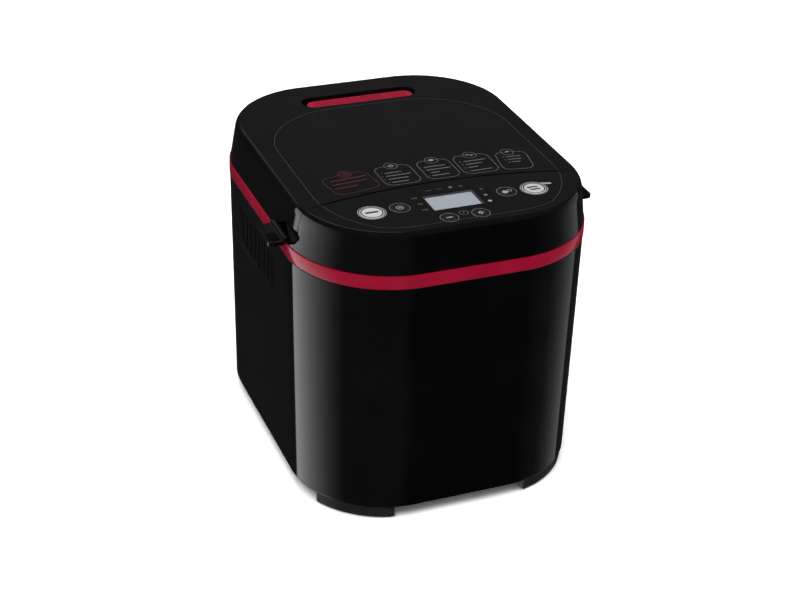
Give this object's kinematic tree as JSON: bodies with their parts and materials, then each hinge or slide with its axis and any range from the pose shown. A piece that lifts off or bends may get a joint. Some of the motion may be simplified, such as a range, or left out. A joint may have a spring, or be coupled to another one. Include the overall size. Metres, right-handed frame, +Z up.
{
  "type": "bread machine",
  "caption": "Black countertop bread machine with a hinged lid, red trim band, control keys and display, side grips, and a removable-style pan with kneading drive inside.",
  "frame": {"origin": "on the table under the middle of the machine, at the foot pads' underside", "axes": "+Z up, +X to the machine's right as seen from its front, front at -Y"},
  "size_m": [0.3266, 0.357, 0.3044],
  "materials": {
    "black_gloss": "polished black moulding with soft broad reflections",
    "black_panel": "glossy black printed cover plate with thin grey outlines",
    "red_gloss": "deep red translucent-looking gloss",
    "black_matte": "fine-grained black moulding",
    "key_silver": "satin silver paint on the key caps",
    "key_dark": "satin dark grey key caps",
    "display": "pale clear display cover",
    "lcd": "grey-green liquid crystal panel",
    "circuit": "green circuit board with solder and small parts",
    "component": "black moulded electrical parts",
    "steel": "bright zinc-plated or turned steel",
    "sheet_steel": "galvanised pressed sheet",
    "alloy": "cast or pressed aluminium",
    "nonstick": "dark speckled non-stick coating",
    "heater_sheath": "heat-darkened steel sheath",
    "laminations": "varnished laminated iron and winding",
    "nylon": "natural nylon",
    "rubber": "soft black rubber",
    "silicone": "dark grey silicone rubber"
  },
  "bodies": {
    "base": {"base_plate": "sheet_steel", "feet": "black_matte", "foot_pads": "rubber", "body_shell": "black_gloss", "front_panel": "black_gloss", "trim_band": "red_gloss", "deck_frame": "black_matte", "control_housing": "black_gloss", "control_plate": "black_panel", "display_lens": "display", "lcd_module": "lcd", "control_board": "circuit", "chamber": "sheet_steel", "heating_element": "heater_sheath", "heater_clips": "sheet_steel", "temperature_sensor": "steel", "pan_socket": "alloy", "chassis_plate": "sheet_steel", "bearing_housing": "alloy", "drive_belt": "rubber", "motor_stator": "laminations", "motor_bells": "alloy", "motor_screws": "steel", "power_board": "circuit", "power_parts": "component", "cord_gland": "black_matte", "base_screws": "steel", "bread_pan": "nonstick", "pan_skirt": "nonstick", "pan_bush": "alloy"},
    "lid": {"lid_shell": "black_gloss", "lid_plate": "black_panel", "vent_insert": "red_gloss", "lid_liner": "alloy", "lid_seal": "silicone", "lid_grips": "black_gloss", "lid_screws": "steel", "hinge_pins": "steel"},
    "kneading_drive": {"drive_shaft": "steel", "large_pulley": "nylon", "shaft_clips": "steel", "drive_coupler": "steel", "pan_shaft": "steel", "pan_coupler": "steel", "kneading_paddle": "nonstick"},
    "motor_rotor": {"motor_rotor": "steel", "motor_pulley": "nylon"},
    "pan_bail": {"pan_bail": "steel"},
    "menu_key": {"menu_button": "key_silver"},
    "loaf_key": {"loaf_button": "key_dark"},
    "minus_key": {"minus_button": "key_dark"},
    "plus_key": {"plus_button": "key_dark"},
    "crust_key": {"crust_button": "key_dark"},
    "start_key": {"start_button": "key_silver"}
  },
  "joints": [
    {"name": "lid_hinge", "type": "hinge", "parent": "base", "child": "lid", "pos_m": [0, 0.172, 0.2701], "axis": [-1, 0, 0], "range_deg": [0, 95]},
    {"name": "kneading_turn", "type": "hinge", "parent": "base", "child": "kneading_drive", "pos_m": [0, 0.038, 0.03], "axis": [0, 0, 1], "continuous": true},
    {"name": "motor_turn", "type": "hinge", "parent": "base", "child": "motor_rotor", "pos_m": [-0.066, -0.12, 0.03], "axis": [0, 0, 1], "continuous": true},
    {"name": "bail_swing", "type": "hinge", "parent": "base", "child": "pan_bail", "pos_m": [0, 0.038, 0.197], "axis": [-1, 0, 0], "range_deg": [0, 180]},
    {"name": "menu_press", "type": "slide", "parent": "base", "child": "menu_key", "axis": [0, 0, -1], "range_m": [0, 0.001], "stiffness_N_per_m": 400},
    {"name": "loaf_press", "type": "slide", "parent": "base", "child": "loaf_key", "axis": [0, 0, -1], "range_m": [0, 0.001], "stiffness_N_per_m": 400},
    {"name": "minus_press", "type": "slide", "parent": "base", "child": "minus_key", "axis": [0, 0, -1], "range_m": [0, 0.001], "stiffness_N_per_m": 400},
    {"name": "plus_press", "type": "slide", "parent": "base", "child": "plus_key", "axis": [0, 0, -1], "range_m": [0, 0.001], "stiffness_N_per_m": 400},
    {"name": "crust_press", "type": "slide", "parent": "base", "child": "crust_key", "axis": [0, 0, -1], "range_m": [0, 0.001], "stiffness_N_per_m": 400},
    {"name": "start_press", "type": "slide", "parent": "base", "child": "start_key", "axis": [0, 0, -1], "range_m": [0, 0.001], "stiffness_N_per_m": 400}
  ],
  "couplings": [
    {"joint": "motor_turn", "follows": "kneading_turn", "ratio": 5}
  ]
}
